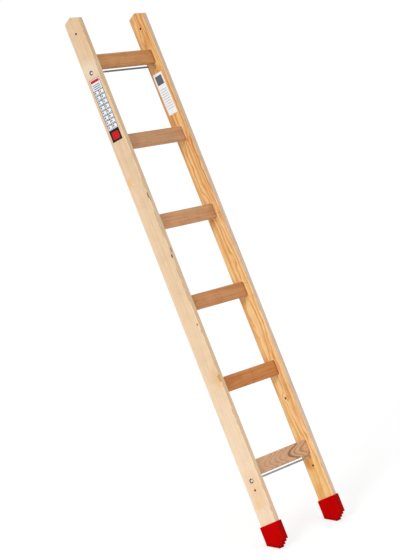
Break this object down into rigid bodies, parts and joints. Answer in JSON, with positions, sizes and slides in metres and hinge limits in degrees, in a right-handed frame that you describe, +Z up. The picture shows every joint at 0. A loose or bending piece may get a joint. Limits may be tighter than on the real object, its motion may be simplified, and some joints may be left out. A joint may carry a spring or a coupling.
{
  "type": "wooden ladder",
  "caption": "Straight single-section wooden rung ladder: pine stiles, flat beech rungs, steel tie rods and red stepped plastic feet, leaning back with its soles flat on the floor.",
  "frame": {"origin": "on the floor, under the middle of the whole leaning ladder", "axes": "+X across the ladder to the climber's right, -Y the climbing side, +Y the wall side it leans to, +Z up; the stiles lean back 25 degrees"},
  "size_m": [0.3674, 0.8153, 1.6479],
  "materials": {
    "pine": "planed pale pine, clear satin",
    "beech": "planed beech, clear satin",
    "zinc_steel": "zinc-plated steel",
    "red_plastic": "moulded red plastic, satin",
    "label_film": "white film, semi-gloss"
  },
  "bodies": {
    "root": {"left_stile": "pine", "right_stile": "pine", "rung_1": "beech", "rung_2": "beech", "rung_3": "beech", "rung_4": "beech", "rung_5": "beech", "rung_6": "beech", "top_tie_rod": "zinc_steel", "bottom_tie_rod": "zinc_steel", "top_tie_rod_nuts": "zinc_steel", "bottom_tie_rod_nuts": "zinc_steel", "top_tie_rod_washers": "zinc_steel", "bottom_tie_rod_washers": "zinc_steel", "left_foot": "red_plastic", "right_foot": "red_plastic", "outer_label": "label_film", "inner_label": "label_film"}
  },
  "joints": []
}
